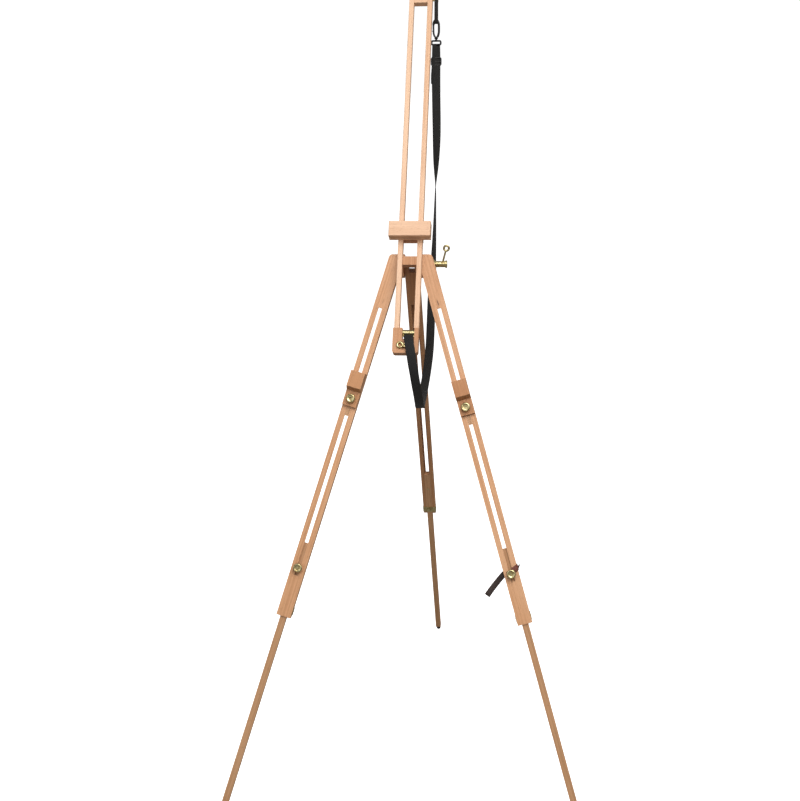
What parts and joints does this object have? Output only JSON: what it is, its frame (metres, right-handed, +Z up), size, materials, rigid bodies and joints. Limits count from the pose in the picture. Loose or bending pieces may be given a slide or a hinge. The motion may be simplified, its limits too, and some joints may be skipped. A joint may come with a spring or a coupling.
{
  "type": "artist easel",
  "caption": "Folding wooden tripod easel with a slotted tilting mast, canvas holder, canvas rests, telescopic legs, brass knobs and a carrying strap.",
  "frame": {"origin": "middle of the footprint box on the floor", "axes": "+Z up, the canvas side faces -Y, +X to the right of someone facing the canvas side"},
  "size_m": [0.8168, 1.0868, 1.777],
  "materials": {
    "beech": "oiled beech with a satin lacquer and fine brown flecks",
    "beech_pale": "paler beech with a satin lacquer",
    "brass": "brass-plated steel with light polish",
    "rubber": "dull moulded rubber",
    "webbing": "woven polyamide webbing, matt",
    "leather": "dark brown strap leather",
    "black_metal": "black coated metal",
    "black_plastic": "moulded black plastic"
  },
  "bodies": {
    "head": {"head_block": "beech", "pivot_bolt": "brass", "pivot_washer": "brass", "hinge_bolt_left": "brass", "hinge_bolt_right": "brass"},
    "pivot_lever": {"pivot_lever_nut": "brass"},
    "carriage": {"tilt_carriage": "beech_pale"},
    "mast": {"mast_rail_left": "beech_pale", "mast_rail_right": "beech_pale", "mast_top_block": "beech_pale", "mast_foot_block": "beech_pale", "strap_bar": "brass", "strap_bar_rod": "brass", "foot_stud": "brass", "strap_end_eye": "webbing", "shoulder_strap": "webbing", "strap_slider": "black_plastic", "snap_hook": "black_metal", "hook_loop": "webbing", "loop_pin": "brass"},
    "foot_nut": {"foot_ring_nut": "brass"},
    "holder": {"holder_block": "beech_pale", "holder_back_plate": "beech_pale", "holder_bolt": "brass"},
    "holder_knob": {"holder_knob": "brass"},
    "leg_left": {"upper_leg_left": "beech", "guide_band_left": "brass"},
    "rest_left": {"canvas_rest_left": "beech", "rest_key_left": "beech", "rest_bolt_left": "brass"},
    "rest_knob_left": {"rest_knob_left": "brass"},
    "leg_right": {"upper_leg_right": "beech", "guide_band_right": "brass"},
    "rest_right": {"canvas_rest_right": "beech", "rest_key_right": "beech", "rest_bolt_right": "brass"},
    "rest_knob_right": {"rest_knob_right": "brass"},
    "leg_rear": {"upper_leg_rear": "beech", "guide_band_rear": "brass"},
    "lower_left": {"lower_leg_left": "beech", "leg_bolt_left": "brass", "leg_washer_left": "brass", "rubber_foot_left": "rubber"},
    "leg_knob_left": {"leg_knob_left": "brass"},
    "lower_right": {"lower_leg_right": "beech", "leg_bolt_right": "brass", "leg_washer_right": "brass", "rubber_foot_right": "rubber", "leather_tie": "leather"},
    "leg_knob_right": {"leg_knob_right": "brass"},
    "lower_rear": {"lower_leg_rear": "beech", "leg_bolt_rear": "brass", "leg_washer_rear": "brass", "rubber_foot_rear": "rubber"},
    "leg_knob_rear": {"leg_knob_rear": "brass"}
  },
  "joints": [
    {"name": "mast_tilt", "type": "hinge", "parent": "head", "child": "carriage", "pos_m": [0, -0.10233, 1.18799], "axis": [1, 0, 0], "range_deg": [-58, 22], "deforming": ["shoulder_strap"]},
    {"name": "mast_slide", "type": "slide", "parent": "carriage", "child": "mast", "axis": [0, 0.5162, 0.8564], "range_m": [-0.01, 0.12]},
    {"name": "holder_slide", "type": "slide", "parent": "mast", "child": "holder", "axis": [0, 0.5162, 0.8564], "range_m": [0, 0.52]},
    {"name": "holder_knob_turn", "type": "hinge", "parent": "holder", "child": "holder_knob", "pos_m": [0, -0.11094, 1.25507], "axis": [0, 0.8564, -0.5162], "range_deg": [-180, 180]},
    {"name": "pivot_lever_turn", "type": "hinge", "parent": "head", "child": "pivot_lever", "pos_m": [0, -0.10233, 1.18799], "axis": [1, 0, 0], "range_deg": [-90, 90]},
    {"name": "foot_nut_turn", "type": "hinge", "parent": "mast", "child": "foot_nut", "pos_m": [0, -0.24516, 1.03239], "axis": [0, -0.8564, 0.5162], "range_deg": [-18, 60]},
    {"name": "leg_left_fold", "type": "hinge", "parent": "head", "child": "leg_left", "pos_m": [-0.04064, -0.12566, 1.17601], "axis": [0, 0.9428, -0.3333], "range_deg": [-16.26, 0]},
    {"name": "rest_left_slide", "type": "slide", "parent": "leg_left", "child": "rest_left", "axis": [-0.28, -0.32, -0.9051], "range_m": [-0.14, 0.24]},
    {"name": "rest_left_knob_turn", "type": "hinge", "parent": "rest_left", "child": "rest_knob_left", "pos_m": [-0.1238, -0.22069, 0.90719], "axis": [0, -0.9428, 0.3333], "range_deg": [-180, 180]},
    {"name": "leg_right_fold", "type": "hinge", "parent": "head", "child": "leg_right", "pos_m": [0.04064, -0.12566, 1.17601], "axis": [0, -0.9428, 0.3333], "range_deg": [-16.26, 0]},
    {"name": "rest_right_slide", "type": "slide", "parent": "leg_right", "child": "rest_right", "axis": [0.28, -0.32, -0.9051], "range_m": [-0.14, 0.24]},
    {"name": "rest_right_knob_turn", "type": "hinge", "parent": "rest_right", "child": "rest_knob_right", "pos_m": [0.12828, -0.22581, 0.89271], "axis": [0, -0.9428, 0.3333], "range_deg": [-180, 180]},
    {"name": "leg_rear_fold", "type": "hinge", "parent": "head", "child": "leg_rear", "pos_m": [0, -0.10233, 1.18799], "axis": [1, 0, 0], "range_deg": [-47.8, 0]},
    {"name": "lower_left_slide", "type": "slide", "parent": "leg_left", "child": "lower_left", "axis": [-0.28, -0.32, -0.9051], "range_m": [-0.255, 0.01]},
    {"name": "leg_left_knob_turn", "type": "hinge", "parent": "lower_left", "child": "leg_knob_left", "pos_m": [-0.23244, -0.34485, 0.556], "axis": [0, -0.9428, 0.3333], "range_deg": [-180, 180]},
    {"name": "lower_right_slide", "type": "slide", "parent": "leg_right", "child": "lower_right", "axis": [0.28, -0.32, -0.9051], "range_m": [-0.255, 0.01]},
    {"name": "leg_right_knob_turn", "type": "hinge", "parent": "lower_right", "child": "leg_knob_right", "pos_m": [0.23244, -0.34485, 0.556], "axis": [0, -0.9428, 0.3333], "range_deg": [-180, 180]},
    {"name": "lower_rear_slide", "type": "slide", "parent": "leg_rear", "child": "lower_rear", "axis": [0, 0.4772, -0.8788], "range_m": [-0.52, 0.004]},
    {"name": "leg_rear_knob_turn", "type": "hinge", "parent": "lower_rear", "child": "leg_knob_rear", "pos_m": [0, 0.24934, 0.5403], "axis": [0, 0.8788, 0.4772], "range_deg": [-180, 180]}
  ]
}
